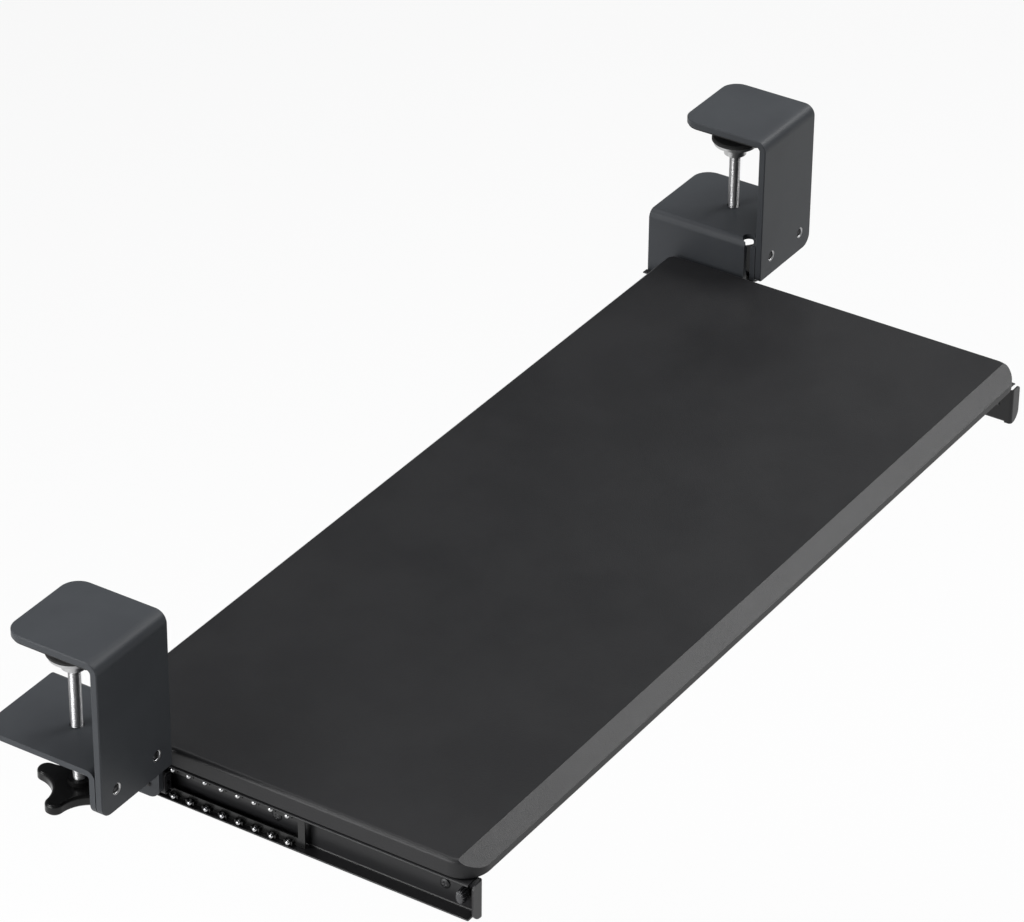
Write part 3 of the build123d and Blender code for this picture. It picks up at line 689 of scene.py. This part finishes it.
def make_bumper_tree():
    """Oval ribbed bumpers with a peg behind and a rounded front, on points."""
    tree, given, out = make_shape_tree("ribbed_bumpers", {
        "Half Width": 2 * BUMPER_PEG_RADIUS, "Half Height": 3 * BUMPER_PEG_RADIUS,
        "Reach": 5 * BUMPER_PEG_RADIUS, "Peg Radius": BUMPER_PEG_RADIUS,
        "Peg Length": BUMPER_PEG_LENGTH, "Ribs": BUMPER_RIBS, "Rib Depth": BUMPER_RIB_DEPTH})
    work = worker(tree)
    # From the peg's end along the peg to the base, up the ribbed wall, and round the front.
    peg_end, base, shoulder, tip = 1, 3, 6, 14
    mesh, turn, row = lathe_grid(tree, BUMPER_SIDES, tip)
    up = share_of(tree, row, base, shoulder)
    bend = work("MULTIPLY", share_of(tree, row, shoulder, tip), QUARTER_TURN)
    wave = work("COSINE", work("MULTIPLY", work("MULTIPLY", turn, given["Ribs"]), FULL_TURN))
    rib = work("MULTIPLY", work("SUBTRACT", 0.5, work("MULTIPLY", wave, 0.5)), given["Rib Depth"])
    side = work("SUBTRACT", given["Half Height"], rib)
    closing = work("POWER", work("MAXIMUM", work("COSINE", bend), 0.0), 0.5)
    body = work("MULTIPLY", work("MULTIPLY", side, closing), between(tree, row, base, tip - 1))
    peg = work("MULTIPLY", given["Peg Radius"], between(tree, row, peg_end, base - 1))
    front = work("MULTIPLY", work("SINE", bend), 1 - BUMPER_WALL_SHARE)
    rise = work("ADD", work("MULTIPLY", up, BUMPER_WALL_SHARE), front)
    back = work("MULTIPLY", given["Peg Length"], between(tree, row, 0, peg_end))
    height = work("SUBTRACT", work("MULTIPLY", rise, given["Reach"]), back)
    wide = work("DIVIDE", given["Half Width"], given["Half Height"])
    bumper = wrap(tree, mesh, turn, work("ADD", body, peg), height, wide)
    finish_on_points(tree, given, out, bumper)
    return tree


THREAD = make_thread()
SCREWS = make_screw_tree(make_head(), THREAD)
RODS = make_rod_tree(THREAD)
BALLS = make_ball_tree()
LININGS = make_lining_tree()
BUMPERS = make_bumper_tree()


# Pieces

def solid_boxes(node):
    """Lowest and highest corners of each separate solid of a CAD node."""
    copy = bmesh.new()
    copy.from_mesh(frame["nodes"][node].data)
    bmesh.ops.remove_doubles(copy, verts=copy.verts, dist=JOIN_GAP)
    boxes, seen = [], set()
    for start in copy.verts:
        if start in seen:
            continue
        seen.add(start)
        solid = [start]
        # The list grows while the loop runs along it, until no joined corner is left.
        for corner in solid:
            near = [edge.other_vert(corner) for edge in corner.link_edges]
            fresh = [other for other in near if other not in seen]
            solid += fresh
            seen.update(fresh)
        places = [corner.co for corner in solid]
        low = Vector([min(place[i] for place in places) for i in range(3)])
        high = Vector([max(place[i] for place in places) for i in range(3)])
        boxes.append((low, high))
    copy.free()
    return boxes


def mirrored(axis, place):
    """Axis given for the right-hand side, mirrored where the place is on the left."""
    return Vector((math.copysign(1, place.x) * axis[0], axis[1], axis[2]))


def face_outwards(mesh):
    """Doubles merged, then every face turned outwards."""
    copy = bmesh.new()
    copy.from_mesh(mesh)
    bmesh.ops.remove_doubles(copy, verts=copy.verts, dist=JOIN_GAP)
    bmesh.ops.recalc_face_normals(copy, faces=copy.faces)
    copy.to_mesh(mesh)
    copy.free()


def mesh_on_points(name, tree, points, values):
    """Plain mesh that a geometry tree makes on points with an axis each."""
    seats = bpy.data.meshes.new(name)
    seats.from_pydata([place for place, _ in points], [], [])
    axes = seats.attributes.new("axis", "FLOAT_VECTOR", "POINT")
    for item, (_, axis) in zip(axes.data, points):
        item.vector = axis
    carrier = bpy.data.objects.new(name + "_seats", seats)
    scene.collection.objects.link(carrier)
    modifier = carrier.modifiers.new("shape", "NODES")
    modifier.node_group = tree
    for socket in tree.interface.items_tree:
        label = socket.name.replace(" ", "_")
        if socket.in_out == "INPUT" and label in values:
            modifier[socket.identifier] = values[label]
    shown = carrier.evaluated_get(bpy.context.evaluated_depsgraph_get())
    mesh = bpy.data.meshes.new_from_object(shown)
    carrier.modifiers.remove(modifier)
    bpy.data.objects.remove(carrier)
    face_outwards(mesh)
    return mesh


def shape_on_points(name, tree, points, body, slot, nodes, **values):
    """Piece that a geometry tree makes on points, on one body, in place of CAD nodes or of none."""
    mesh = mesh_on_points(name, tree, points, {"Finish": FINISHES[slot], **values})
    piece = bpy.data.objects.new(name, mesh)
    scene.collection.objects.link(piece)
    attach(piece, body)
    if nodes:
        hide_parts(*nodes)


def make_screws(node, body, right_axis, head_height, shank_radius, pitch):
    """Threaded, cross-headed screws in the places of a CAD node's plain ones, all of one size."""
    points = []
    for low, high in solid_boxes(node):
        middle, size = (low + high) / 2, high - low
        axis = mirrored(right_axis, middle)
        length = abs(size.dot(axis))
        head_radius = max(size - axis * size.dot(axis)) / 2
        points.append((middle + axis * (length / 2 - head_height), axis))
    shape_on_points(
        node + "_threaded", SCREWS, points, body, "black_screws", [node],
        Head_Radius=head_radius, Head_Height=head_height, Shank_Radius=shank_radius,
        Shank_Length=length - head_height, Pitch=pitch)


def make_all_screws():
    """Every small screw of the slides, the clamps and the board."""
    make_screws(
        "channel_screws", "tray", OUTWARD, SMALL_HEAD_HEIGHT, SMALL_SCREW_RADIUS, SMALL_SCREW_PITCH)
    make_screws(
        "member_screws", "clamps", INWARD, SMALL_HEAD_HEIGHT, SMALL_SCREW_RADIUS, SMALL_SCREW_PITCH)
    make_screws(
        "plate_join_screws", "clamps", BACKWARD, JOIN_HEAD_HEIGHT, JOIN_SCREW_RADIUS, JOIN_SCREW_PITCH)
    make_screws(
        "board_screws", "tray", DOWNWARD, BOARD_HEAD_HEIGHT, SMALL_SCREW_RADIUS, BOARD_SCREW_PITCH)


def make_hole_chamfers():
    """Bare steel chamfers of the tapped holes in the clamps' fronts."""
    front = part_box("left_upper_clamp_plate")[0][1]
    points = []
    for low, high in solid_boxes("plate_join_screws"):
        middle = (low + high) / 2
        points.append((Vector((middle.x, front, middle.z)), FORWARD))
    shape_on_points(
        "tapped_hole_chamfers", LININGS, points, "clamps", "zinc_steel", [],
        Bore_Radius=JOIN_SCREW_RADIUS, Rim_Radius=JOIN_SCREW_RADIUS + HOLE_CHAMFER - LINING_GAP,
        Depth=HOLE_CHAMFER - LINING_GAP)


def make_rod(side):
    """Threaded rod of one clamp, from the foot's socket down into the knob."""
    node = side + "_clamp_screw"
    low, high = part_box(node)
    top = Vector(((low[0] + high[0]) / 2, (low[1] + high[1]) / 2, high[2]))
    shape_on_points(
        side + "_threaded_rod", RODS, [(top, UPWARD)], side + "_screw", "zinc_steel", [node],
        Radius=CLAMP_SCREW_RADIUS, Length=high[2] - low[2], Pitch=CLAMP_SCREW_PITCH)


def make_balls(side):
    """Two rows of bearing balls of one slide."""
    node = side + "_slide_balls"
    points = [((low + high) / 2, UPWARD) for low, high in solid_boxes(node)]
    shape_on_points(
        side + "_bearing_balls", BALLS, points, side + "_cage", "bright_steel", [node],
        Radius=BALL_RADIUS)


def make_bumper(side):
    """Ribbed bumper at the front of one channel."""
    node = side + "_channel_bumper"
    low, high = (Vector(corner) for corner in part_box(node))
    middle, size = (low + high) / 2, high - low
    axis = mirrored(OUTWARD, middle)
    seat = middle + axis * (BUMPER_PEG_LENGTH - size.x / 2)
    shape_on_points(
        side + "_ribbed_bumper", BUMPERS, [(seat, axis)], "tray", "grey_soft_plastic", [node],
        Half_Width=size.y / 2, Half_Height=size.z / 2, Reach=size.x - BUMPER_PEG_LENGTH,
        Peg_Radius=BUMPER_PEG_RADIUS, Peg_Length=BUMPER_PEG_LENGTH, Ribs=BUMPER_RIBS,
        Rib_Depth=BUMPER_RIB_DEPTH)


make_camera()
make_even_light()
make_soft_boxes()
make_floor()
finish_cad_nodes()
make_all_screws()
make_hole_chamfers()
for side in ("left", "right"):
    make_rod(side)
    make_balls(side)
    make_bumper(side)
